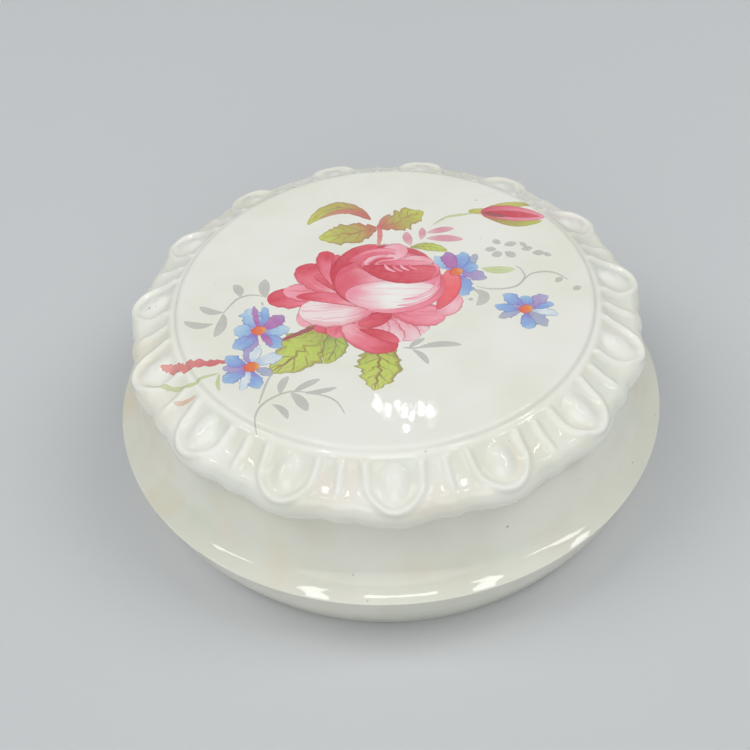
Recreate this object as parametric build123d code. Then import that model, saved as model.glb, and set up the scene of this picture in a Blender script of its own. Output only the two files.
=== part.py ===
from build123d import *
import os
from math import cos, radians, sin

# Round porcelain trinket box: a low flared base and a loose lid with a moulded border.
# Millimetres, +Z up. The origin is the centre of the foot ring's resting face.

# Overall sizes
baseRadius = 48.0  # edge of the rim
rimHeight = 12.0  # edge of the rim above the table
wallRise = 14.8  # from the rim's edge up to the seat, where the lid rests
lidRise = 7.0  # from the seat up to the lid's flat top

# Base
ledgeWidth = 2.9  # from the rim's edge in to its crest
ledgeRise = 0.7  # the crest above the edge
footInset = 5.4  # outside of the foot ring, in from the rim's edge
footWidth = 3.0
footRecess = 1.0  # clearance of the bottom above the table inside the foot ring
floorThickness = 2.4
wallThickness = 3.0
wallInset = 7.4  # outside of the wall at the mouth, in from the rim's edge
mouthWall = 2.6  # wall thickness at the mouth
coveShare = 0.72  # share of the wall's rise taken by the hollow curve above the crest

# Lid
lidInset = 3.6  # widest point of the lid, at a lobe, in from the rim's edge
scallopDepth = 1.1  # the widest point is this much less between two lobes
edgeInset = 1.0  # the lower edge inside the widest point
tipRise = 2.7  # widest point above the lower edge
skirtDrop = 2.1  # the lid's lower edge hangs this far below the seat
skirtGap = 0.6  # play between the lid's skirt and the base wall
lidThickness = 3.0
shoulderWidth = 1.4  # from the widest point in to the border's shoulder
borderWidth = 7.3  # sloping part of the border, from its shoulder to the groove
borderFall = 3.2  # drop over that width
grooveWidth = 1.2  # from the bottom of the groove to the panel's edge
panelStep = 1.0  # height of the panel above the groove
flangeDepth = 3.0  # locating ring in the mouth, down from the seat
flangeWidth = 2.4
flangeGap = 0.5  # play between the locating ring and the mouth

# Border relief: each lobe is a boss with a U-shaped ridge round it, and a rib follows
lobeCount = 15
bossWidth, bossHeight = 4.4, 0.7
bossPlace = 3.5  # down the slope from the groove to the middle of a boss
ridgeRadius = 0.9  # section of the rounded ridges
ridgeHeight = 0.5  # how far they stand proud
ridgeHalfWidth = 3.8  # from a boss's centre line to its ridge's
ribRadius = 0.85
ribLength = 4.6

# Sizes that follow
seatHeight = rimHeight + wallRise
panelTop = seatHeight + lidRise
footRadius = baseRadius - footInset
wallTopRadius = baseRadius - wallInset
mouthRadius = wallTopRadius - mouthWall
floorHeight = footRecess + floorThickness
flangeRadius = mouthRadius - flangeGap
skirtInside = wallTopRadius + skirtGap
lidEdgeHeight = seatHeight - skirtDrop
lidTipRadius = baseRadius - lidInset
shoulderRadius = lidTipRadius - shoulderWidth
groove = (shoulderRadius - borderWidth, panelTop - panelStep)
shoulder = (shoulderRadius, groove[1] - borderFall)
panelRadius = groove[0] - grooveWidth
lobePitch = 360 / lobeCount


def beside(a, b, share, rise=0.0):
    """Point at a share of the way from a to b, moved to the left of that line by rise."""
    dx, dy = b[0] - a[0], b[1] - a[1]
    length = (dx * dx + dy * dy) ** 0.5
    return a[0] + dx * share - dy / length * rise, a[1] + dy * share + dx / length * rise


def polar(radius, angle):
    return radius * cos(radians(angle)), radius * sin(radians(angle))


def revolved(edges):
    """Solid of revolution from edges drawn as (radius, height)."""
    return revolve(make_face([Plane.XZ * edge for edge in edges]), Axis.Z)


def makeBase():
    """Foot ring, bowl, rim with its ledge, hollow-curved wall, flat mouth and the inside."""
    footInner = footRadius - footWidth
    footEdge = (footRadius + 0.7, 0.6)
    rim = (baseRadius, rimHeight)
    crest = (baseRadius - ledgeWidth, rimHeight + ledgeRise)
    coveTop = (wallTopRadius, crest[1] + wallRise * coveShare)
    coveSide = beside(crest, coveTop, 0.35, 0.9)
    belly = (crest[0] - wallThickness, rimHeight - 1.0)
    floorEdge = (footRadius - wallThickness - 2.0, floorHeight)
    innerTop = (mouthRadius, coveTop[1])
    return revolved(
        [
            Line((0, footRecess), (footInner - footRecess, footRecess)),
            Line((footInner - footRecess, footRecess), (footInner, 0)),
            Line((footInner, 0), (footRadius, 0)),
            ThreePointArc((footRadius, 0), beside((footRadius, 0), footEdge, 0.5, -0.12), footEdge),
            ThreePointArc(footEdge, beside(footEdge, rim, 0.5, -0.8), rim),
            ThreePointArc(rim, beside(rim, crest, 0.5, -0.3), crest),
            ThreePointArc(crest, beside(crest, coveSide, 0.5, 0.45), coveSide),
            ThreePointArc(coveSide, beside(coveSide, coveTop, 0.5, 0.35), coveTop),
            Line(coveTop, (wallTopRadius, seatHeight)),
            Line((wallTopRadius, seatHeight), (mouthRadius, seatHeight)),
            Line((mouthRadius, seatHeight), innerTop),
            ThreePointArc(innerTop, beside(innerTop, belly, 0.5, 0.7), belly),
            ThreePointArc(belly, beside(belly, floorEdge, 0.5, 1.3), floorEdge),
            Line(floorEdge, (0, floorHeight)),
            Line((0, floorHeight), (0, footRecess)),
        ]
    )


def borderPlane(down):
    """Plane on the sloping border over +X, this far down from the groove: X down, Z outwards."""
    fall = Vector(shoulder[0] - groove[0], 0, shoulder[1] - groove[1]).normalized()
    start = Vector(groove[0], 0, groove[1])
    return Plane(origin=start + fall * down, x_dir=fall, z_dir=(-fall.Z, 0, fall.X))


def makeRelief():
    """The bosses, ridges and ribs of all the lobes, as three lists."""
    sink = ridgeRadius - ridgeHeight
    boss = (bossWidth * bossWidth / 4 + bossHeight * bossHeight) / (2 * bossHeight)
    ball = borderPlane(bossPlace) * (Pos(0, 0, bossHeight - boss) * Sphere(boss))
    start, side = 1.6 - bossPlace, ridgeHalfWidth  # a ridge's arms begin beside the groove
    arms = [Line((start, y), (0, y)) for y in (side, -side)]
    bend = ThreePointArc((0, side), (side, 0), (0, -side))
    path = Pos(0, 0, -sink) * Wire([arms[0].edge(), bend.edge(), arms[1].edge()])
    ridge = sweep(Plane(origin=path @ 0, z_dir=path % 0) * Circle(ridgeRadius), path)
    rib = Pos(ribLength / 2 + 1.0, 0, ridgeHeight - ribRadius) * Rot(0, 90, 0)
    rib = rib * Cylinder(ribRadius, ribLength)
    angles = [i * lobePitch - 90 for i in range(lobeCount)]
    return (
        [Rot(0, 0, angle) * ball for angle in angles],
        [Rot(0, 0, angle) * (borderPlane(bossPlace) * ridge) for angle in angles],
        [Rot(0, 0, angle + lobePitch / 2) * (borderPlane(0) * rib) for angle in angles],
    )


def scallopedPlan():
    """Plan of the lid's edge: an outward arc for each lobe, and a short inward one between."""
    half = lobePitch * 0.34
    edges = []
    for i in range(lobeCount):
        middle = i * lobePitch - 90
        ends = [polar(lidTipRadius - scallopDepth, middle + turn) for turn in (-half, half, lobePitch - half)]
        edges.append(ThreePointArc(ends[0], polar(lidTipRadius, middle), ends[1]))
        edges.append(Line(ends[1], ends[2]))
    return make_face(edges)


def upright(radius, low, high):
    """Round bar about the axis, between two heights."""
    return Pos(0, 0, low) * Cylinder(
        radius, high - low, align=(Align.CENTER, Align.CENTER, Align.MIN)
    )


def makeLid():
    """Raised panel, moulded border with a scalloped edge, and the hollow underside."""
    panelEdge = (panelRadius, panelTop)
    corner = (panelRadius + 0.7, panelTop - 0.35)
    tip = (lidTipRadius, lidEdgeHeight + tipRise)
    edge = (lidTipRadius - edgeInset, lidEdgeHeight)
    outside = revolved(
        [
            Line((0, lidEdgeHeight), (0, panelTop)),
            Line((0, panelTop), panelEdge),
            ThreePointArc(panelEdge, beside(panelEdge, corner, 0.5, 0.1), corner),
            ThreePointArc(corner, beside(corner, groove, 0.5, -0.08), groove),
            Line(groove, shoulder),
            ThreePointArc(shoulder, beside(shoulder, tip, 0.5, 0.45), tip),
            ThreePointArc(tip, beside(tip, edge, 0.5, 0.2), edge),
            Line(edge, (0, lidEdgeHeight)),
        ]
    )
    shell = outside & (Pos(0, 0, lidEdgeHeight) * extrude(scallopedPlan(), panelTop))
    for pieces in makeRelief():
        shell = shell.fuse(*pieces)
    hollowRadius = flangeRadius - flangeWidth
    flangeLow = seatHeight - flangeDepth
    skirtCut = upright(skirtInside, lidEdgeHeight, seatHeight)
    hollow = upright(hollowRadius, lidEdgeHeight, panelTop - lidThickness)
    ring = upright(flangeRadius, flangeLow, seatHeight + 0.5) - upright(
        hollowRadius, flangeLow, seatHeight + 0.5
    )
    return shell - skirtCut - hollow + ring


os.makedirs("parts", exist_ok=True)
for name, solid in {"base": makeBase(), "lid": makeLid()}.items():
    solid.label = name
    export_step(solid, f"parts/{name}.step")
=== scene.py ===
from math import cos, exp, hypot, log, pi, radians, sin
import bpy
from mathutils import Matrix, Vector, noise
from mathutils.bvhtree import BVHTree


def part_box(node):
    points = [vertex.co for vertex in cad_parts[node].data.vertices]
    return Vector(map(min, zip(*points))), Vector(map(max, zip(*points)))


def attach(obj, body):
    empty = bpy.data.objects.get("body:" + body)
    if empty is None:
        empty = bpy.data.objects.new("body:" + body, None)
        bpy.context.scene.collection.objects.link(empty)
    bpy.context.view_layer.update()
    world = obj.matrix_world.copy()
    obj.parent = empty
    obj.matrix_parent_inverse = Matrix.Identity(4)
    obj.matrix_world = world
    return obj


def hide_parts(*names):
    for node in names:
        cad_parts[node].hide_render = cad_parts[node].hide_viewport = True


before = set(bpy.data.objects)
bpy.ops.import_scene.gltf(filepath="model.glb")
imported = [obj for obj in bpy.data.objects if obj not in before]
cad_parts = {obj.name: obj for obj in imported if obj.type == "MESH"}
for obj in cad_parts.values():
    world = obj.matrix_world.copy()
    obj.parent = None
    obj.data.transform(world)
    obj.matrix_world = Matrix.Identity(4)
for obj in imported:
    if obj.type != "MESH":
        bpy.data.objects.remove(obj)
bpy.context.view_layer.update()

mm = 0.001
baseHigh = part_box("base")[1]
lidLow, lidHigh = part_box("lid")
rimRadius = baseHigh[0] / mm
seatHeight = baseHigh[2] / mm  # where the lid rests
flangeLow = lidLow[2] / mm
printRoom = 0.06  # left over the panel for the print's thickness
panelTop = lidHigh[2] / mm - printRoom


class Value:
    # a node's output that can stand in a sum
    def __init__(self, kit, socket):
        self.kit, self.socket = kit, socket

    def __add__(self, other):
        return self.kit.maths("ADD", self, other)

    def __radd__(self, other):
        return self.kit.maths("ADD", other, self)

    def __sub__(self, other):
        return self.kit.maths("SUBTRACT", self, other)

    def __rsub__(self, other):
        return self.kit.maths("SUBTRACT", other, self)

    def __mul__(self, other):
        return self.kit.maths("MULTIPLY", self, other)

    def __rmul__(self, other):
        return self.kit.maths("MULTIPLY", other, self)

    def __truediv__(self, other):
        return self.kit.maths("DIVIDE", self, other)

    def __abs__(self):
        return self.kit.maths("ABSOLUTE", self, 0.0)


class Kit:
    # adds nodes to one tree
    def __init__(self, tree):
        self.tree = tree

    def node(self, kind, settings=None, inputs=None, out=0):
        made = self.tree.nodes.new(kind)
        for name, value in (settings or {}).items():
            setattr(made, name, value)
        for name, value in (inputs or {}).items():
            self.feed(made.inputs[name], value)
        return Value(self, made.outputs[out])

    def feed(self, socket, value):
        if isinstance(value, Value):
            self.tree.links.new(value.socket, socket)
        elif getattr(socket, "type", "") == "RGBA" and len(value) == 3:
            socket.default_value = (*value, 1.0)
        else:
            socket.default_value = value

    def maths(self, operation, first, second):
        return self.node("ShaderNodeMath", {"operation": operation}, {0: first, 1: second})

    def mix(self, share, first, second):
        # colours only
        return self.node("ShaderNodeMix", {"data_type": "RGBA"}, {0: share, 6: first, 7: second}, 2)

    def smooth(self, value, low, high):
        settings = {"interpolation_type": "SMOOTHSTEP"}
        inputs = {"Value": value, "From Min": low, "From Max": high}
        return self.node("ShaderNodeMapRange", settings, inputs)

    def noise(self, where, scale, detail=2.0):
        inputs = {"Vector": where, "Scale": scale, "Detail": detail}
        return self.node("ShaderNodeTexNoise", None, inputs)

    def place(self):
        return self.node("ShaderNodeTexCoord", out=3)

    def parts(self, vector):
        split = self.tree.nodes.new("ShaderNodeSeparateXYZ")
        self.feed(split.inputs[0], vector)
        return [Value(self, split.outputs[i]) for i in range(3)]

    def join(self, x, y, z):
        return self.node("ShaderNodeCombineXYZ", None, {0: x, 1: y, 2: z})

    def attribute(self, name, out=0):
        return self.node("ShaderNodeAttribute", {"attribute_name": name}, None, out)


def newMaterial(name, roughness):
    material = bpy.data.materials.new(name)
    material.use_nodes = True
    tree = material.node_tree
    tree.nodes.clear()
    kit = Kit(tree)
    shader = tree.nodes.new("ShaderNodeBsdfPrincipled")
    output = tree.nodes.new("ShaderNodeOutputMaterial")
    tree.links.new(shader.outputs[0], output.inputs[0])
    shader.inputs["Roughness"].default_value = roughness
    return material, kit, shader.inputs


def tint(red, green, blue):
    # a colour as given, made linear for the shaders
    return tuple((c / 255) ** 2.2 for c in (red, green, blue))


def spline(points, steps):
    # smooth line through the points, in this many steps between each two
    ends = [points[0]] + list(points) + [points[-1]]
    line = []
    for a, b, c, d in zip(ends, ends[1:], ends[2:], ends[3:]):
        for i in range(steps):
            t = i / steps
            weights = (
                (-t + 2 * t * t - t**3) / 2, (2 - 5 * t * t + 3 * t**3) / 2,
                (t + 4 * t * t - 3 * t**3) / 2, (t**3 - t * t) / 2,
            )
            line.append(tuple(sum(w * p[k] for w, p in zip(weights, (a, b, c, d))) for k in (0, 1)))
    return line + [tuple(points[-1])]


def fromRim(points):
    # (inset from the rim's edge, height) as (radius, height)
    return [(rimRadius - inset, z) for inset, z in points]


def ease(x, low, high):
    t = min(max((x - low) / (high - low), 0), 1)
    return t * t * (3 - 2 * t)


def hump(x, spread):
    return exp(-((x / spread) ** 2))


def meshObject(name, points, faces, material):
    mesh = bpy.data.meshes.new(name)
    mesh.from_pydata([tuple(p) for p in points], [], faces)
    mesh.materials.append(material)
    mesh.update()
    mesh.shade_smooth()
    piece = bpy.data.objects.new(name, mesh)
    bpy.context.scene.collection.objects.link(piece)
    return piece


def paintPoints(mesh, name, values):
    layer = mesh.attributes.new(name, "FLOAT", "POINT")
    layer.data.foreach_set("value", values)


glaze = {
    "roughness": 0.03, "wear": 0.03, "wearScale": 260.0, "ior": 1.52,
    "white": (236, 236, 227), "cloud": (230, 230, 216), "cloudScale": 70.0,
    "baseWhite": (226, 226, 214), "baseCloud": (219, 220, 206),
    # tones of the painted shade, how much of it is laid and how patchily
    "shadeTan": (214, 205, 183), "shadeGreen": (205, 211, 192), "hueScale": 95.0,
    "shadePink": (226, 208, 198), "pinkScale": 60.0, "shadeShare": 0.6, "shadeScale": 110.0,
    "speck": (120, 118, 112), "speckShare": 0.45, "grainScale": 900.0, "rareScale": 240.0,
    # painted shade on the base's left-front side, in patches
    "sideShade": (222, 212, 184), "sideShadeShare": 0.5, "sideShadeScale": 120.0, "sideShadeStart": 0.026, "sideShadeFull": 0.05,
    "peel": 0.000008, "peelScale": 420.0, "swell": 3.0, "swellScale": 90.0,
}


def glazeMaterial(name, d, baseWithSideShade=False):
    # milky glaze: clouded, tinted with painted shade in hollows, creases and under the rim, with a few specks
    # and a faint orange peel
    material, kit, shader = newMaterial(name, d["roughness"])
    where = kit.place()
    cloud = kit.smooth(kit.noise(where, d["cloudScale"], 3.0), 0.35, 0.7)
    pair = ("baseWhite", "baseCloud") if baseWithSideShade else ("white", "cloud")
    colour = kit.mix(cloud, *[tint(*d[shade]) for shade in pair])
    hue = kit.noise(where, d["hueScale"])
    other = kit.noise(kit.join(*[p + 3.0 for p in kit.parts(where)]), d["pinkScale"])
    shadeColour = kit.mix(kit.smooth(hue, 0.4, 0.6), tint(*d["shadeTan"]), tint(*d["shadeGreen"]))
    shadeColour = kit.mix(kit.smooth(other, 0.55, 0.7), shadeColour, tint(*d["shadePink"]))
    # painted shade: each point's share of it, broken up by noise
    paintedShade = kit.attribute("paintedShade", 2) * kit.smooth(kit.noise(where, d["shadeScale"]), 0.2, 0.8)
    colour = kit.mix(paintedShade * d["shadeShare"], colour, shadeColour)
    if baseWithSideShade:
        # painted shade on the left-front side, broken into patches
        x, y, _ = kit.parts(where)
        side = kit.smooth(0.0 - x - y * 0.6, d["sideShadeStart"], d["sideShadeFull"])
        patch = kit.smooth(kit.noise(where, d["sideShadeScale"], 4.0), 0.5, 0.7)
        colour = kit.mix(side * patch * d["sideShadeShare"], colour, tint(*d["sideShade"]))
    grain = kit.smooth(kit.noise(where, d["grainScale"], 1.0), 0.76, 0.8)
    speck = grain * kit.smooth(kit.noise(where, d["rareScale"], 0.0), 0.6, 0.66)
    kit.feed(shader["Base Color"], kit.mix(speck * d["speckShare"], colour, tint(*d["speck"])))
    worn = kit.smooth(kit.noise(where, d["wearScale"], 4.0), 0.45, 0.8)
    kit.feed(shader["Roughness"], d["roughness"] + worn * d["wear"])
    height = kit.noise(where, d["peelScale"]) + kit.noise(where, d["swellScale"], 1.0) * d["swell"]
    bump = {"Height": height, "Distance": d["peel"], "Strength": 0.6}
    kit.feed(shader["Normal"], kit.node("ShaderNodeBump", None, bump))
    shader["IOR"].default_value = d["ior"]
    return material


# outlines as (inset from the rim's edge, height above the table)
base = {
    "under": [(28, 1.0), (9.8, 1.0), (9.1, 0.75)],
    "foot": [(8.4, 0.0), (7.0, 0.0), (5.4, 0.0)],
    "bowl": [(5.4, 0.0), (4.9, 0.25), (4.4, 1.2), (3.0, 3.9), (1.7, 6.8), (0.7, 9.7), (0.05, 11.8)],
    "rim": [(0.05, 11.8), (0.0, 11.95), (0.1, 12.08)],
    "wall": [
        (0.1, 12.08), (0.9, 12.36), (1.8, 12.66), (2.7, 13.06), (3.5, 13.72), (4.15, 14.7),
        (4.8, 16.2), (5.55, 18.5), (6.3, 21.2), (6.9, 23.8), (7.4, 26.2),
    ],
    "mouth": [(7.4, 26.2), (7.55, 26.65), (7.9, 26.8), (9.5, 26.8), (9.88, 26.65), (10.0, 26.2)],
    "inside": [
        (10.0, 26.2), (9.95, 22.0), (9.5, 19.0), (8.4, 16.0), (6.6, 13.2), (6.0, 11.0), (6.6, 8.6),
        (8.0, 6.2), (9.6, 4.4), (11.4, 3.55), (13.5, 3.4),
    ],
    "floor": [(13.5, 3.4), (31, 3.4)],
    "steps": {"under": 0, "foot": 1, "bowl": 5, "rim": 2, "wall": 5, "mouth": 2, "inside": 4, "floor": 0},
    "around": 288,
    # painted shade on the glaze: a hump in the cove, more below the bowl's top than on the wall, some at the
    # middles
    "coveHeight": 14.2, "coveSpread": 2.0, "coveTint": 0.7,
    "bowlTop": 11.5, "bowlTint": 0.35, "wallTint": 0.1, "middleTint": 0.3,
}


def baseSection(d):
    # (radius, height) from the underside's middle round to the floor's, with 0 steps for straight runs
    section = []
    for name, steps in d["steps"].items():
        section += fromRim(spline(d[name], steps)[:-1] if steps else d[name])
    return section


def makeBase(d):
    rings, count = baseSection(d), d["around"]
    points = [(0, 0, rings[0][1] * mm)]
    # painted shade for each point: a hump in the cove where the ledge meets the wall, more below the rim's
    # height than above, some at the two middle points
    paintedShade = [d["middleTint"]]
    for r, z in rings:
        shade = hump(z - d["coveHeight"], d["coveSpread"]) * d["coveTint"]
        shade += d["bowlTint"] if z < d["bowlTop"] else d["wallTint"]
        for i in range(count):
            angle = 2 * pi * i / count
            points.append((r * cos(angle) * mm, r * sin(angle) * mm, z * mm))
            paintedShade.append(shade)
    points.append((0, 0, rings[-1][1] * mm))
    paintedShade.append(d["middleTint"])
    faces = []
    last = len(points) - 1
    top = 1 + (len(rings) - 1) * count
    for i in range(count):
        after = (i + 1) % count
        faces.append((0, 1 + after, 1 + i))
        faces.append((last, top + i, top + after))
        for k in range(len(rings) - 1):
            low = 1 + k * count
            faces.append((low + i, low + after, low + count + after, low + count + i))
    piece = meshObject("baseGlazed", points, faces, glazeMaterial("baseGlaze", glaze, True))
    paintPoints(piece.data, "paintedShade", paintedShade)
    return piece


baseGlazed = makeBase(base)
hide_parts("base")
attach(baseGlazed, "base")
print("base made")


# radii as insets from the rim's edge, heights from the panel's top
lid = {
    "lobes": 15, "columns": 48, "joinDistance": 0.000002,
    "panelRings": [0, 10, 20, 28, 32],  # plain radii
    "panelEdge": [(14.1, 0.0), (13.5, -0.04), (13.05, -0.2), (12.8, -0.5), (12.6, -0.82), (12.25, -1.0)],
    "border": [
        (12.25, -1.0), (11.5, -1.32), (10.4, -2.2), (8.4, -3.45), (6.6, -4.05), (5.3, -4.35),
        (4.3, -5.0), (3.75, -6.2), (3.8, -7.5), (4.3, -8.6),
    ],
    "edge": [(4.55, 0.25), (4.9, 0.05), (5.4, 0.0)],  # heights above the lower edge
    "skirtDrop": 2.1, "skirtInset": 6.8, "flangeInset": 10.5, "hollowInset": 12.9, "thickness": 3.0,
    "ceilingRings": [24, 12, 0],
    "scallop": 1.05, "scallopStart": 4.0, "scallopFull": 10.0,
    "bayFullness": 1.25, "seamHeight": 0.3, "seamWidth": 1.6,
    "bossLength": 6.0, "bossWidth": 4.3, "bossHeight": 0.95, "bossPlace": 4.5,
    "ridgeHalf": 4.2, "ridgeHeight": 0.6, "ridgeWidth": 0.62, "ridgeTurn": 4.7,
    "ribHeight": 0.55, "ribWidth": 0.6, "ribStart": 1.2, "ribEnd": 7.8,
    # painted shade: full in the moulding's hollows, none where it stands this high, and this much on plain
    # glaze
    "shadeDepth": 0.45, "plainTint": 0.15,
}


def borderRelief(d, along, aside, half):
    # height of the moulding at a distance down the border and a distance from the lobe's middle
    side = abs(aside)
    oval = hypot((along - d["bossPlace"]) / (d["bossLength"] / 2), side / (d["bossWidth"] / 2))
    height = d["bossHeight"] * (1 - ease(oval, 0.3, 1.25))
    if along < d["ridgeTurn"]:
        away = abs(side - d["ridgeHalf"])
    else:
        away = abs(hypot(side, along - d["ridgeTurn"]) - d["ridgeHalf"])
    height += d["ridgeHeight"] * hump(away, d["ridgeWidth"]) * ease(along, 0.2, 1.8)
    fade = ease(along, d["ribStart"] - 0.6, d["ribStart"] + 0.9)
    fade *= 1 - ease(along, d["ribEnd"] - 2.0, d["ribEnd"] + 0.6)
    return height + d["ribHeight"] * hump(half - side, d["ribWidth"]) * fade


def scallopInset(d, along, aside, half):
    # how far the edge is drawn in between two lobes
    bay = min((0.5 - 0.5 * cos(pi * aside / half)) * d["bayFullness"], 1.0)
    seam = d["seamHeight"] * hump(half - abs(aside), d["seamWidth"])
    return (d["scallop"] * bay - seam) * ease(along, d["scallopStart"], d["scallopFull"])


def lidUnderside(d):
    # (radius, height) from the lower edge in over the seat, down the locating ring and up to the ceiling
    low, ceiling = seatHeight - d["skirtDrop"], panelTop - d["thickness"]
    skirt, flange, hollow = (rimRadius - d[name] for name in ("skirtInset", "flangeInset", "hollowInset"))
    return [
        *fromRim([(inset, low + rise) for inset, rise in d["edge"]]),
        (skirt + 0.3, low), (skirt, low + 0.3), (skirt, seatHeight - 0.2), (skirt - 0.2, seatHeight),
        (flange + 0.3, seatHeight), (flange, seatHeight - 0.3), (flange, flangeLow + 0.4),
        (flange - 0.4, flangeLow), (hollow + 0.4, flangeLow), (hollow, flangeLow + 0.4),
        (hollow, ceiling - 1.2), (hollow - 0.4, ceiling - 0.4), (hollow - 1.2, ceiling),
        *[(r, ceiling) for r in d["ceilingRings"]],
    ]


def lidSector(d):
    # one lobe's wedge, from the centre of the panel round the edge to the underside
    def fromTop(points):
        return [(r, panelTop + z) for r, z in fromRim(points)]

    before = [(r, panelTop) for r in d["panelRings"]] + fromTop(spline(d["panelEdge"], 4)[:-1])
    border = fromTop(spline(d["border"], 7))
    pitch = 2 * pi / d["lobes"]
    points, paintedShade = [], []
    distance = 0
    steps = len(border) - 1
    for k, (r, z) in enumerate(before + border + lidUnderside(d)):
        j = k - len(before)
        inBorder = 0 <= j <= steps
        if inBorder:
            a, b = border[max(j - 1, 0)], border[min(j + 1, steps)]
            slope = Vector((b[0] - a[0], b[1] - a[1])).normalized()
            if j:
                distance += hypot(r - border[j - 1][0], z - border[j - 1][1])
        half = pitch * r / 2
        for i in range(d["columns"] + 1):
            angle = pitch * (i / d["columns"] - 0.5)
            aside = angle * r
            rr, zz, hollow = r, z, d["plainTint"]
            if 0 <= j <= steps + len(d["edge"]):
                rr -= scallopInset(d, distance, aside, half)
            if inBorder:
                height = borderRelief(d, distance, aside, half)
                rr -= slope.y * height
                zz += slope.x * height
                # painted shade: strong where the moulding is low, fading out at both ends of the border
                # (elsewhere the faint plain amount)
                hollow = max(0, 1 - height / d["shadeDepth"])
                hollow *= ease(distance, 0.0, 1.0) * (1 - ease(distance, 9, 12))
            points.append((rr * cos(angle - pi / 2) * mm, rr * sin(angle - pi / 2) * mm, zz * mm))
            paintedShade.append(hollow)
    width = d["columns"] + 1
    faces = []
    for k in range(len(points) // width - 1):
        for i in range(d["columns"]):
            a = k * width + i
            faces.append((a, a + width, a + width + 1, a + 1))
    return points, faces, paintedShade


def ringTree(material):
    # repeats a wedge round Z, joins the wedges and gives them their material
    tree = bpy.data.node_groups.new("lobeRing", "GeometryNodeTree")
    face = tree.interface
    face.new_socket("Wedge", in_out="INPUT", socket_type="NodeSocketGeometry")
    face.new_socket("Lobes", in_out="INPUT", socket_type="NodeSocketInt")
    face.new_socket("Join distance", in_out="INPUT", socket_type="NodeSocketFloat")
    face.new_socket("Geometry", in_out="OUTPUT", socket_type="NodeSocketGeometry")
    kit = Kit(tree)
    entry = tree.nodes.new("NodeGroupInput")
    wedge, lobes, join = (Value(kit, entry.outputs[i]) for i in range(3))
    spots = kit.node("GeometryNodePoints", None, {"Count": lobes})
    angle = kit.node("GeometryNodeInputIndex") * (2 * pi) / lobes
    turn = kit.node("ShaderNodeCombineXYZ", None, {"Z": angle})
    ring = kit.node(
        "GeometryNodeInstanceOnPoints", None, {"Points": spots, "Instance": wedge, "Rotation": turn}
    )
    real = kit.node("GeometryNodeRealizeInstances", None, {"Geometry": ring})
    whole = kit.node("GeometryNodeMergeByDistance", None, {"Geometry": real, "Distance": join})
    done = kit.node("GeometryNodeSetMaterial", None, {"Geometry": whole, "Material": material})
    leave = tree.nodes.new("NodeGroupOutput")
    tree.links.new(done.socket, leave.inputs[0])
    return tree


def socketKey(tree, name):
    return next(s.identifier for s in tree.interface.items_tree if s.name == name and s.in_out == "INPUT")


def makeLid(d):
    points, faces, paintedShade = lidSector(d)
    lidGlaze = glazeMaterial("lidGlaze", glaze)
    wedge = meshObject("lidGlazed", points, faces, lidGlaze)
    paintPoints(wedge.data, "paintedShade", paintedShade)
    tree = ringTree(lidGlaze)
    ring = wedge.modifiers.new("ring", "NODES")
    ring.node_group = tree
    ring[socketKey(tree, "Lobes")] = d["lobes"]
    ring[socketKey(tree, "Join distance")] = d["joinDistance"]
    view = bpy.context.evaluated_depsgraph_get()
    view.update()
    whole = bpy.data.meshes.new_from_object(wedge.evaluated_get(view))
    wedge.modifiers.clear()
    wedge.data = whole
    whole.shade_smooth()
    return wedge


lidGlazed = makeLid(lid)
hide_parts("lid")
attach(lidGlazed, "lid")
print("lid made,", len(lidGlazed.data.polygons), "faces")
lidSurface = BVHTree.FromPolygons(
    [v.co.copy() for v in lidGlazed.data.vertices], [tuple(p.vertices) for p in lidGlazed.data.polygons]
)


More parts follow.
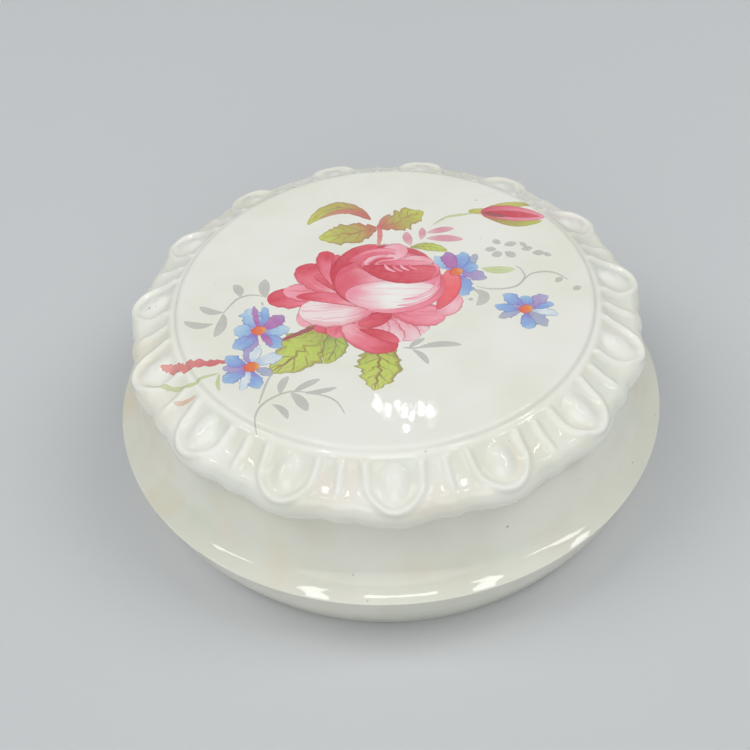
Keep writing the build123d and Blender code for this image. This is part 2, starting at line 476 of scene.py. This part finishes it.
# colours of the print, as (inner, middle, outer, edge) of one petal, leaf or stroke
enamel = {
    "crimson": ((205, 60, 80), (214, 78, 94), (226, 100, 116), (198, 50, 72)),
    "deepPink": ((214, 76, 96), (228, 106, 124), (236, 134, 150), (208, 68, 90)),
    "crimsonTip": ((243, 176, 186), (234, 118, 136), (212, 66, 86), (216, 76, 96)),
    "ball": ((222, 92, 112), (243, 172, 186), (236, 132, 152), (216, 76, 98)),
    "rosePink": ((222, 96, 116), (240, 138, 156), (243, 160, 174), (218, 88, 110)),
    "palePink": ((238, 150, 168), (243, 192, 200), (240, 168, 182), (230, 128, 148)),
    "blush": ((238, 146, 164), (242, 240, 235), (241, 222, 222), (240, 176, 190)),
    "whitePetal": ((232, 122, 142), (242, 222, 222), (241, 226, 224), (230, 126, 146)),
    "fan": ((206, 60, 84), (238, 168, 180), (240, 206, 210), (222, 98, 120)),
    "coral": ((226, 92, 110), (240, 104, 108), (236, 120, 128), (220, 84, 104)),
    "faintPink": ((232, 190, 188), (228, 158, 170), (232, 176, 186), (224, 160, 172)),
    "blue": ((142, 120, 200), (136, 168, 222), (158, 194, 228), (104, 130, 206)),
    "skyBlue": ((150, 150, 214), (160, 200, 230), (190, 214, 232), (112, 142, 210)),
    "lilac": ((160, 130, 196), (172, 150, 200), (170, 172, 206), (150, 128, 190)),
    "magenta": ((176, 96, 170), (184, 112, 178), (172, 130, 190), (160, 92, 162)),
    "paleBlue": ((190, 208, 230), (226, 233, 236), (214, 226, 234), (116, 158, 208)),
    "greyBlue": ((160, 162, 190), (168, 176, 204), (176, 180, 196), (140, 142, 170)),
    "ember": ((228, 84, 60), (234, 112, 62), (232, 164, 72), (216, 72, 72)),
    "leaf": ((172, 176, 96), (192, 208, 96), (198, 208, 110), (140, 104, 70)),
    "darkLeaf": ((150, 160, 96), (176, 194, 96), (190, 204, 96), (128, 100, 78)),
    "rustLeaf": ((196, 120, 102), (184, 178, 96), (196, 206, 96), (172, 116, 88)),
    "rust": ((202, 116, 108), (206, 132, 116), (186, 160, 110), (190, 110, 100)),
    "rustStroke": ((176, 84, 96), (170, 96, 98), (164, 104, 100), (166, 88, 92)),
    "calyx": ((196, 190, 100), (206, 204, 110), (192, 170, 104), (176, 160, 92)),
    "paleGreen": ((206, 214, 172), (204, 214, 160), (212, 218, 178), (180, 196, 130)),
    "thorn": ((218, 112, 116), (228, 140, 136), (236, 164, 156), (204, 100, 106)),
    "paleRust": ((230, 206, 184), (226, 190, 168), (230, 206, 188), (220, 186, 166)),
    "grey": ((206, 203, 198), (202, 199, 195), (210, 207, 203), (196, 193, 189)),
}


film = {"across": 8, "petalRows": 28, "strokeRows": 18, "tip": 0.02, "lift": 0.0008, "sink": 0.03}


def rowEnds(middle, run, half, notches):
    # both ends of a row across a stroke that runs this way
    side = Vector((-run.y, run.x))
    return [middle + side * edge * half * (1 + notch) for edge, notch in zip((1, -1), notches)]


def petal(colour, start, end, width, bend=0.0, widest=0.55, blunt=0.6, ragged=0.0):
    # rows across a petal or leaf that runs from start to end and bows to the left
    start, end = Vector(start), Vector(end)
    way = end - start
    left = Vector((-way.y, way.x)).normalized()
    power = log(0.5) / log(widest)
    rows = []
    for i in range(film["petalRows"] + 1):
        t = 0.5 - 0.5 * cos(pi * i / film["petalRows"])
        middle = start + way * t + left * bend * 4 * t * (1 - t)
        run = (way + left * bend * 4 * (1 - 2 * t)).normalized()
        half = width / 2 * max(sin(pi * t**power), 0) ** blunt + film["tip"]
        notches = [noise.noise((t * way.length * 1.5, edge * 3.1, width)) * ragged for edge in (1, -1)]
        rows.append((t, *rowEnds(middle, run, half, notches)))
    return colour, rows


def stroke(colour, points, width, ragged=0.0, taper=0.5):
    # rows across a drawn line with tapered ends
    line = spline(points, film["strokeRows"])
    rows = []
    for i, here in enumerate(line):
        t = i / (len(line) - 1)
        before, after = Vector(line[max(i - 1, 0)]), Vector(line[min(i + 1, len(line) - 1)])
        half = width / 2 * max(sin(pi * t), 0) ** taper + film["tip"]
        notches = [noise.noise((t * 19.0, edge * 2.3, width)) * ragged for edge in (1, -1)]
        rows.append((t, *rowEnds(Vector(here), (after - before).normalized(), half, notches)))
    return colour, rows


def filmFaces(first, count, width):
    # top, underside and side walls of one shape, whose top rows start at the first point
    under = count * width
    faces = []
    for k in range(count - 1):
        left = first + k * width
        right = left + width - 1
        for a in range(left, right):
            faces.append((a, a + 1, a + width + 1, a + width))
            faces.append((a + under, a + under + width, a + under + width + 1, a + under + 1))
        faces.append((left, left + width, left + under + width, left + under))
        faces.append((right + under, right + under + width, right + width, right))
    for i in range(width - 1):
        a, b = first + i, first + (count - 1) * width + i
        faces.append((a + 1, a, a + under, a + under + 1))
        faces.append((b, b + 1, b + under + 1, b + under))
    return faces


def layFilm(name, shapes, material, d, low):
    # closed thin films laid on the lid, each shape a little above the one before it, from low up
    points, faces, flow, seeds = [], [], [], []
    shades = {"inner": [], "middle": [], "outer": [], "edge": []}
    for order, (colour, rows) in enumerate(shapes):
        faces += filmFaces(len(points), len(rows), d["across"] + 1)
        for height in (low + d["lift"] * order, -d["sink"]):
            for t, left, right in rows:
                for i in range(d["across"] + 1):
                    share = i / d["across"]
                    spot = left.lerp(right, share) * mm
                    hit = lidSurface.ray_cast(Vector((spot.x, spot.y, 0.1)), Vector((0, 0, -1)))[0]
                    points.append((spot.x, spot.y, hit.z + height * mm))
                    flow.append((t, share))
                    seeds.append(order * 1.7 + low * 100)
                    for shade, value in zip(shades, enamel[colour]):
                        shades[shade] += [*tint(*value), 1.0]
    piece = meshObject(name, points, faces, material)
    mesh = piece.data
    uv = mesh.uv_layers.new(name="flow")
    uv.data.foreach_set("uv", [c for loop in mesh.loops for c in flow[loop.vertex_index]])
    mesh.set_sharp_from_angle(angle=radians(30))
    paintPoints(mesh, "seed", seeds)
    for shade, values in shades.items():
        mesh.color_attributes.new(shade, "FLOAT_COLOR", "POINT").data.foreach_set("color", values)
    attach(piece, "lid")
    print(name, "laid,", len(mesh.polygons), "faces")


printing = {
    "washAlong": 2.2, "washAcross": 3.0, "lineAlong": 1.6, "lineAcross": 15.0,
    "twigs": 5.5, "twigSlant": 1.3, "grainScale": 900.0, "roughness": 0.05,
}


def veinMask(kit, along, side, d):
    # a midrib, and twigs that slant off it towards the tip
    rib = 1.0 - kit.smooth(side, 0.03, 0.1)
    slanted = along * d["twigs"] - side * d["twigSlant"] + 5.0
    slant = kit.node("ShaderNodeMath", {"operation": "FRACT"}, {0: slanted})
    twig = 1.0 - kit.smooth(abs(slant - 0.5), 0.03, 0.12)
    return kit.maths("MAXIMUM", rib, twig * (1.0 - kit.smooth(side, 0.55, 0.9)) * 0.8)


def enamelMaterial(name, d, streaks=0.35, veins=0.0, outline=0.75, cover=1.0, mottle=0.12):
    # transfer-printed enamel: colour runs along each stroke, streaked, outlined and soft at the edge
    material, kit, shader = newMaterial(name, d["roughness"])
    along, across, _ = kit.parts(kit.node("ShaderNodeUVMap", {"uv_map": "flow"}))
    seed = kit.attribute("seed", 2)
    side = abs(across * 2.0 - 1.0)
    wash = kit.noise(kit.join(along * d["washAlong"], across * d["washAcross"], seed), 1.0, 3.0)
    run = along + (wash - 0.5) * 0.5
    colour = kit.mix(kit.smooth(run, 0.05, 0.48), kit.attribute("inner"), kit.attribute("middle"))
    colour = kit.mix(kit.smooth(run, 0.5, 0.95), colour, kit.attribute("outer"))
    edge = kit.attribute("edge")
    lines = kit.noise(kit.join(along * d["lineAlong"], across * d["lineAcross"], seed), 1.0, 3.0)
    colour = kit.mix(kit.smooth(lines, 0.48, 0.68) * streaks, colour, edge)
    if veins:
        drawn = veinMask(kit, along, side, d) * veins * kit.smooth(wash, 0.3, 0.55)
        colour = kit.mix(drawn, colour, edge)
    rim = kit.smooth(side + (wash - 0.5) * 0.3, 0.62, 0.96)
    colour = kit.mix(rim * outline, colour, edge)
    patch = kit.noise(kit.place(), d["grainScale"], 3.0)
    kit.feed(shader["Base Color"], kit.mix(patch * mottle, colour, tint(*glaze["white"])))
    fade = kit.smooth(side + (patch - 0.5) * 0.14, 0.84, 1.0)
    kit.feed(shader["Alpha"], (1.0 - fade) * cover)
    shader["IOR"].default_value = glaze["ior"]
    return material


# the rose, drawn from its outer petals in to the cup
rose = [
    petal("rosePink", (-15, -1), (9, 3), 12, 0.4, 0.55, 0.4),
    petal("rosePink", (-2, 10), (-1, -9), 16, 0, 0.5, 0.45),
    petal("palePink", (-8, -1), (-14.5, -6.4), 6.5, 0.6, 0.6, 0.5, 0.15),
    petal("crimsonTip", (-9, -1), (-19.7, -0.2), 5.4, -0.6, 0.66, 0.42, 0.15),
    petal("rosePink", (-7, 2.5), (-17, 1.9), 5.2, 0.8, 0.6, 0.5, 0.15),
    petal("crimsonTip", (-7, 0.5), (-13.6, 8.6), 6.2, 0.9, 0.68, 0.4, 0.15),
    petal("crimson", (-5.6, 0), (-11.8, 5.6), 3.2, -0.5, 0.5, 0.5),
    petal("crimsonTip", (-7.6, 1.5), (-9.9, 11.9), 4.0, 0.4, 0.7, 0.4, 0.15),
    petal("crimson", (-6.6, 2), (-7.8, 10.8), 2.6, 0.2, 0.6, 0.5),
    petal("crimson", (-5, -5), (-11.8, -8), 4.2, 0.7, 0.5, 0.45, 0.15),
    petal("deepPink", (-7, -6.5), (-8.5, -10.4), 4.6, 0, 0.5, 0.5, 0.15),
    petal("crimsonTip", (-6.8, -7.4), (1.8, -13.4), 6.0, -0.9, 0.55, 0.45, 0.15),
    petal("fan", (-0.6, -4.5), (6.4, -10.4), 4.6, 0.4, 0.7, 0.4, 0.25),
    petal("fan", (-1, -4.5), (4.6, -12), 4.6, 0.3, 0.7, 0.4, 0.25),
    petal("fan", (-1.6, -4.5), (2.2, -12.4), 3.6, 0.2, 0.66, 0.45, 0.25),
    petal("fan", (-2.6, -4.6), (-0.2, -11), 3.6, 0, 0.6, 0.5, 0.2),
    petal("crimson", (-4.4, -8.8), (2.0, -12.4), 2.4, 0.4, 0.6, 0.5),
    petal("crimson", (1, -5), (-4.6, -7.6), 3.4, 0.5, 0.5, 0.5),
    petal("rosePink", (1, -4.6), (10, -6.4), 5.8, -0.5, 0.62, 0.4, 0.1),
    petal("palePink", (8.6, -6.4), (12.4, -1.6), 3.8, -0.5, 0.5, 0.5, 0.15),
    petal("whitePetal", (-1.5, -3), (-14.2, -3.4), 8.8, 0.5, 0.55, 0.42, 0.1),
    petal("crimsonTip", (-3, -3.4), (-14.8, 0.2), 2.8, -0.9, 0.55, 0.5),
    petal("coral", (8.6, -5), (11.6, 5.2), 3.9, -1.0, 0.6, 0.45),
    petal("crimson", (-8.8, 3.2), (9, 5.6), 17.4, 0.3, 0.46, 0.42),
    petal("ball", (-8.2, 3.2), (9.9, 2.9), 16.6, 0.2, 0.5, 0.42),
    petal("crimson", (-7.8, 7), (-0.6, 12.6), 3.4, 0.9, 0.5, 0.5),
    petal("palePink", (-0.6, 8), (4.4, 11.6), 5.0, 0.4, 0.6, 0.45),
    petal("rosePink", (-5.6, 8.6), (2.6, 10.8), 2.6, 0.8, 0.5, 0.5),
    petal("palePink", (2, 7), (8.8, 7.4), 3.6, 0.4, 0.5, 0.5),
    petal("blush", (-6.4, 0.4), (9.4, -0.2), 8.6, -1.0, 0.5, 0.45),
    stroke("palePink", [(9.4, 2.6), (8.2, 0), (5.6, -1.7), (3, -2)], 0.8),
    stroke("palePink", [(9.7, 1.2), (8, -1.6), (5, -3.2), (2, -3.5)], 0.7),
    stroke("rosePink", [(10, 4), (9.7, -0.4), (6.6, -3.6), (1.4, -4.8), (-2.8, -4.1)], 1.3),
    stroke("deepPink", [(-2.4, 5.6), (-4.1, 7.6), (-2.8, 9.8), (0.2, 10.5), (2.6, 9.9)], 0.9),
    stroke("palePink", [(-2, 6.6), (-2.8, 8), (-1.4, 9.4), (1, 9.7)], 0.8),
    stroke("crimson", [(-1.2, 5.6), (-1.9, 7.4), (-0.4, 8.8), (2.2, 8.9)], 0.8),
    petal("crimson", (-3.3, 7.2), (9.8, 5.0), 5.2, -1.5, 0.6, 0.4),
    petal("rosePink", (-0.8, 7.7), (8.2, 6.9), 1.7, 0.2, 0.5, 0.5),
    stroke("palePink", [(0.4, 7.4), (0.9, 6.2), (2.2, 5.2)], 0.55),
    stroke("rosePink", [(1.7, 7.3), (2.2, 6.2), (3.4, 5.2)], 0.55),
    stroke("palePink", [(3.1, 7.1), (3.5, 6.2), (4.6, 5.3)], 0.5),
    stroke("rosePink", [(4.5, 7), (4.9, 6.2), (5.9, 5.5)], 0.5),
    stroke("crimsonTip", [(8.9, 6.9), (9.5, 5.4), (8.6, 3.4), (6.4, 2.5)], 0.8),
]

leaves = [
    petal("rustLeaf", (-1.6, 20), (-13, 19.6), 3.4, -4.4, 0.5, 0.6, 0.25),
    petal("rust", (-1.9, 20.2), (-11, 21), 1.4, -2.4, 0.5, 0.7),
    petal("rustLeaf", (-0.6, 17.9), (-11, 15.8), 6.2, 0.6, 0.5, 0.7, 0.5),
    petal("rustLeaf", (-0.1, 17.2), (8, 21.6), 5.6, 0, 0.55, 0.7, 0.5),
    petal("rust", (-0.1, 17.2), (2, 21.4), 1.2, 0.5),
    petal("leaf", (5, 11.7), (11.4, 10), 2.2, 0.7, 0.55, 0.6, 0.2),
    petal("leaf", (-8.6, -7.8), (-18.8, -17.8), 9.4, 0.3, 0.42, 0.7, 0.35),
    petal("darkLeaf", (-8.4, -8.4), (-10, -16.4), 4.2, 0.9, 0.45, 0.6, 0.2),
    petal("leaf", (-1, -12.8), (-2.4, -23), 7.4, 0.4, 0.4, 0.7, 0.4),
    petal("paleGreen", (17, 4.9), (22.6, 4.3), 1.9, -0.4, 0.5, 0.6),
]

stems = [
    stroke("thorn", [(-0.3, 18.6), (-0.1, 16), (-0.4, 12.8)], 0.9, 0.2, 0.3),
    stroke("rustStroke", [(-17.6, -10.6), (-13.6, -8.6), (-9.6, -6.6)], 1.0, 0.3),
    stroke("paleGreen", [(9.4, 17.6), (12, 19.6), (15, 20.1), (17, 20.4)], 0.6, 0.2),
    petal("calyx", (16, 21), (19.8, 20.6), 1.7, 0, 0.5, 0.5, 0.2),
    petal("calyx", (18.4, 20.6), (28.6, 21.6), 1.9, 1.0, 0.4, 0.7, 0.2),
    petal("rosePink", (18.2, 20.6), (29.4, 18), 5.2, 0, 0.42, 0.62),
    petal("crimson", (18.6, 20.3), (28.6, 18.2), 1.9, 0.2, 0.5, 0.7),
    petal("rustLeaf", (18.4, 20), (28.8, 17), 1.7, -1.7, 0.6, 0.6, 0.2),
    stroke("rustStroke", [(18.4, 20.6), (20.5, 19.5), (22.6, 18.9)], 1.0, 0.3),
    petal("faintPink", (5.2, 12.2), (4.6, 16), 1.7, 0.2),
    petal("faintPink", (7, 13.6), (7.4, 17), 1.3, -0.2),
    petal("faintPink", (8.2, 15.4), (13, 16.2), 1.6, 0.2),
    petal("faintPink", (8, 13.9), (14.4, 13), 1.9, 0.2),
    stroke(
        "thorn", [(-25.8, -14.6), (-29, -14.8), (-32.5, -14.6), (-34.8, -13.6), (-37, -12.6)], 1.8, 0.8, 0.45
    ),
    stroke(
        "paleGreen", [(-27, -17.2), (-29.4, -17.9), (-32.6, -18.2), (-36, -16.6), (-39.6, -14.9)], 0.7, 0.3
    ),
    stroke("paleGreen", [(-26.8, -17.4), (-27, -19.4), (-26.6, -21.2)], 0.6, 0.3),
    stroke("paleRust", [(-30.6, -20.4), (-32.4, -20.6), (-34.4, -20.2)], 0.7, 0.3),
]


def flower(centre, size, petals):
    # a small flower: petals given as (colour, end, width, bend), and an ember-coloured eye
    middle = Vector(centre)
    made = []
    for colour, end, width, bend in petals:
        start = middle + (Vector(end) - middle).normalized() * size * 0.3
        made.append(petal(colour, start, end, width, bend, 0.55, 0.58, 0.5))
    ends = [middle - Vector((size / 2, 0.1)), middle + Vector((size / 2, 0.2))]
    return made + [petal("ember", *ends, size * 0.95, 0, 0.5, 0.5, 0.2)]


flowers = (
    flower((12.5, 4.3), 2.4, [
        ("blue", (13, -1.9), 3.3, 0.7), ("lilac", (17.6, 2.2), 2.6, 0.2),
        ("greyBlue", (16.4, 8.8), 2.0, -0.4), ("blue", (16.4, 5.2), 3.2, 0.4),
        ("blue", (14.1, 9.6), 2.8, -0.3), ("skyBlue", (9.2, 8.9), 2.3, 0.3),
        ("magenta", (11.4, 9.8), 2.9, 0.2),
    ])
    + flower((-20.9, -7.8), 2.5, [
        ("lilac", (-22.6, -14.6), 2.2, -0.2), ("blue", (-25, -11.6), 3.2, 0.3),
        ("skyBlue", (-25, -7), 3.4, 0.2), ("blue", (-17.2, -12.2), 2.8, 0.2),
        ("magenta", (-18.6, -11.6), 1.4, 0.1), ("skyBlue", (-15.8, -7.4), 2.8, -0.4),
        ("magenta", (-17, -4.2), 3.0, -0.3), ("blue", (-20.2, -1.9), 1.8, -0.5),
        ("skyBlue", (-22.6, -2.1), 3.6, 0.2), ("magenta", (-21.9, -1.6), 1.1, 0),
    ])
    + flower((-21.8, -16.3), 2.6, [
        ("greyBlue", (-18.4, -18.4), 1.9, 0.2), ("blue", (-20.2, -21.1), 2.4, -0.3),
        ("paleBlue", (-23.2, -21.4), 1.8, 0), ("blue", (-26, -19.5), 3.0, -0.3),
        ("lilac", (-26.4, -16), 2.0, 0.2), ("blue", (-26, -13.4), 2.4, 0.3),
        ("lilac", (-22.8, -12.6), 1.7, 0), ("paleBlue", (-20.6, -11.6), 2.0, 0.2),
        ("paleBlue", (-16.8, -14), 2.6, 0.3),
    ])
    + flower((23.2, -6.2), 2.4, [
        ("greyBlue", (18.6, -7.9), 1.9, -0.2), ("blue", (23, -11), 2.9, 0.2),
        ("greyBlue", (26.2, -10.6), 2.2, 0.2), ("paleBlue", (28.4, -8), 1.9, 0.2),
        ("blue", (28, -5.4), 1.9, 0.3), ("lilac", (27.3, -3.1), 2.4, 0.3),
        ("blue", (23.6, -2.8), 3.0, 0), ("blue", (19.8, -2.2), 2.4, -0.3),
        ("blue", (18.2, -4.8), 2.0, 0.2),
    ])
)

def greyLeaf(*sizes):
    return petal("grey", *sizes)


def greyStem(points, width=0.4):
    return stroke("grey", points, width)


sprigs = [
    greyLeaf((-24.4, 1), (-25.6, 4.2), 1.7, -0.4), greyLeaf((-20, 0.4), (-20.2, 5.2), 2.0, 0.2),
    greyLeaf((-27, -2.7), (-31, -0.9), 1.5, 0.6), greyLeaf((-28.6, -5.4), (-33.4, -4.4), 1.6, 0.8),
    greyLeaf((-27, -3), (-28.2, -8.6), 1.8, 0.5),
    greyStem([(-20, 0.6), (-22.4, 1.3), (-24.6, 0.6), (-26, -1.2), (-27, -3)]),
    greyStem([(-20.6, -0.6), (-20.4, -1.6)], 0.35),
    greyLeaf((-17, -22.6), (-15.8, -18.8), 1.4, 0.4), greyLeaf((-15, -22.4), (-10.8, -19.8), 1.3, 0.2),
    greyLeaf((-13.2, -22.6), (-8.2, -21.8), 1.0, -0.3), greyLeaf((-15.4, -22.4), (-12.8, -26.6), 1.8, 0.3),
    greyLeaf((-18.2, -24.8), (-15.8, -28), 1.2, 0.5),
    greyStem([(-12.6, -22.6), (-15.4, -22.2), (-18, -23.2), (-20, -25), (-20.8, -27.4), (-20.6, -30)]),
    greyStem([(-18.4, -17.6), (-19.4, -20.6), (-20.3, -24.6)]),
    greyStem([(-13, -22.8), (-10.4, -23.4), (-8.2, -25), (-7, -27.6)], 0.3),
    greyLeaf((5, -13.9), (12, -13.8), 1.4, 0.5), greyLeaf((4, -14.2), (6.4, -17.8), 1.1, 0.4),
    greyLeaf((3.6, -13.8), (6.2, -11.8), 1.1, 0.2),
    greyStem([(2.6, -13.6), (4, -13.9), (6, -13.9)]),
    greyLeaf((20.8, 11.2), (19.6, 12.4), 1.3), greyLeaf((20, 9.8), (18, 9.9), 1.4),
    greyLeaf((19, 8), (20.8, 8.8), 1.7), greyLeaf((21.4, 10.8), (23.6, 11.2), 1.4),
    greyLeaf((21.4, 9), (23, 7.4), 1.6), greyLeaf((24.2, 11.4), (25.2, 10), 1.0),
    greyLeaf((24.2, 9.4), (26.2, 9.6), 1.3), greyLeaf((26, 8.2), (28, 8.2), 1.5),
    greyLeaf((27.6, 8.2), (29.2, 7.2), 1.0),
    greyLeaf((14.8, -0.3), (15.2, -4.5), 2.0, 1.7, 0.6), greyLeaf((14, -2.8), (14.8, -3), 0.8),
    greyStem([(15.6, 0.3), (17.6, -0.5), (20.4, -0.7), (22.6, 0), (24, 2), (23.6, 4), (22.8, 5)]),
    greyStem([(23.6, 1), (25, 2.6), (27, 3.1), (29.2, 2.6), (31.2, 0.6)]),
    greyLeaf((29, 0.2), (30.2, 1.4), 1.2), greyLeaf((31.6, -2), (33, -1.2), 1.2),
]

enamels = {
    "sprig": enamelMaterial("greyEnamel", printing, 0.15, 0.0, 0.5, 0.72, 0.35),
    "leaf": enamelMaterial("leafEnamel", printing, 0.25, 0.85, 0.6),
    "stem": enamelMaterial("stemEnamel", printing, 0.3, 0.0, 0.6, 0.9),
    "rose": enamelMaterial("roseEnamel", printing, 0.5, 0.0, 0.7),
    "flower": enamelMaterial("flowerEnamel", printing, 0.35, 0.0, 0.65, 0.95, 0.2),
}
# the last number is how far over the glaze a film starts, in mm, so that it shows over what it covers
layFilm("sprigPrint", sprigs, enamels["sprig"], film, 0.004)
layFilm("leafPrint", leaves, enamels["leaf"], film, 0.004)
layFilm("stemPrint", stems, enamels["stem"], film, 0.013)
layFilm("rosePrint", rose, enamels["rose"], film, 0.007)
layFilm("flowerPrint", flowers, enamels["flower"], film, 0.024)


camera = {
    "lens": 60.6, "distance": 228.1, "elevation": 45.15, "roll": 3.2, "pan": -0.61, "tilt": -0.42,
    "aimHeight": 12.0,
}


def makeCamera(d):
    eye = bpy.data.cameras.new("camera")
    eye.lens, eye.sensor_width = d["lens"], 36
    eye.clip_start = 0.01
    eye.dof.use_dof = False
    rig = bpy.data.objects.new("camera", eye)
    bpy.context.scene.collection.objects.link(rig)
    up, reach = radians(d["elevation"]), d["distance"] * mm
    place = Vector((0, -reach * cos(up), reach * sin(up) + d["aimHeight"] * mm))
    look = Matrix.Rotation(pi / 2 - up, 3, "X")
    look = look @ Matrix.Rotation(-radians(d["pan"]), 3, "Y")
    look = look @ Matrix.Rotation(-radians(d["tilt"]), 3, "X")
    look = look @ Matrix.Rotation(-radians(d["roll"]), 3, "Z")
    rig.matrix_world = Matrix.Translation(place) @ look.to_4x4()
    bpy.context.scene.camera = rig


# metres and watts from here on
studio = {
    "floor": (200, 202, 203), "floorHalf": 3.0, "grainScale": 900.0,
    "sky": 0.3, "skyColour": (0.92, 0.96, 1.0, 1),
    "aim": (0, 0, 0.02), "softboxPlace": (0.5, -0.04, 0.76), "softboxSize": 0.52, "softboxPower": 2.75,
    "fill": 0.92, "fillAngle": 60, "fillTurn": (58, 0, -6),
    # short lamps seen only as bright glints in the glaze, as (place along X, length)
    "glints": [(-0.52, 0.22), (-0.2, 0.1), (0, 0.16), (0.2, 0.1), (0.45, 0.3)],
    "glintPlace": (-0.03, 0.76), "glintDepth": 0.05, "glintPower": 1.1,
    # tiny lamps behind, mirrored as a cluster on the panel, as millimetres along X and up
    "sparks": [(-8, -6), (-2, 0), (4, -4), (9, 2), (14, 7), (20, 0), (26, 4), (9, 22)],
    "sparkPlace": (0.387, 0.468), "sparkAim": (0.0025, -0.0275, 0.0338), "sparkSize": (0.0022, 0.006),
    "sparkPower": 0.0016,
}


def addLamp(name, kind, power):
    data = bpy.data.lights.new(name, kind)
    data.energy = power
    lamp = bpy.data.objects.new(name, data)
    bpy.context.scene.collection.objects.link(lamp)
    return lamp


def areaLight(name, place, aim, size, power):
    # a flat lamp (width, depth) that faces its aim
    lamp = addLamp(name, "AREA", power)
    lamp.data.shape = "RECTANGLE"
    lamp.data.size, lamp.data.size_y = size
    way = Vector(aim) - Vector(place)
    lamp.matrix_world = Matrix.Translation(place) @ way.to_track_quat("-Z", "Y").to_matrix().to_4x4()
    return lamp


def makeFloor(d):
    material, kit, shader = newMaterial("floorPaper", 0.75)
    tooth = kit.noise(kit.place(), d["grainScale"], 3.0)
    paper = tint(*d["floor"])
    kit.feed(shader["Base Color"], kit.mix(tooth * 0.05, paper, tuple(c * 0.9 for c in paper)))
    half = d["floorHalf"]
    corners = [(-half, -half, 0), (half, -half, 0), (half, half, 0), (-half, half, 0)]
    meshObject("floor", corners, [(0, 1, 2, 3)], material)


def makeSky(d):
    world = bpy.data.worlds.new("studio")
    bpy.context.scene.world = world
    world.use_nodes = True
    sky = world.node_tree.nodes["Background"]
    sky.inputs["Color"].default_value = d["skyColour"]
    sky.inputs["Strength"].default_value = d["sky"]
    bpy.context.scene.view_settings.view_transform = "Standard"


def makeLights(d):
    x, y, z = d["softboxPlace"]
    for side, name in ((-1, "softboxLeft"), (1, "softboxRight")):
        size = (d["softboxSize"], d["softboxSize"])
        softbox = areaLight(name, (side * x, y, z), d["aim"], size, d["softboxPower"])
        softbox.visible_glossy = False  # it lights the glaze without a broad white streak
    y, z = d["glintPlace"]
    for i, (x, width) in enumerate(d["glints"]):
        glint = areaLight(f"glint{i}", (x, y, z), d["aim"], (width, d["glintDepth"]), d["glintPower"] * width)
        glint.visible_diffuse = False
    fill = addLamp("fill", "SUN", d["fill"])
    fill.data.angle = radians(d["fillAngle"])  # wide enough to cast no hard shadow
    fill.rotation_euler = [radians(turn) for turn in d["fillTurn"]]
    y, z = d["sparkPlace"]
    for i, (x, rise) in enumerate(d["sparks"]):
        areaLight(f"spark{i}", (x * mm, y, z + rise * mm), d["sparkAim"], d["sparkSize"], d["sparkPower"])


makeCamera(camera)
makeFloor(studio)
makeSky(studio)
makeLights(studio)
print("camera and studio made")
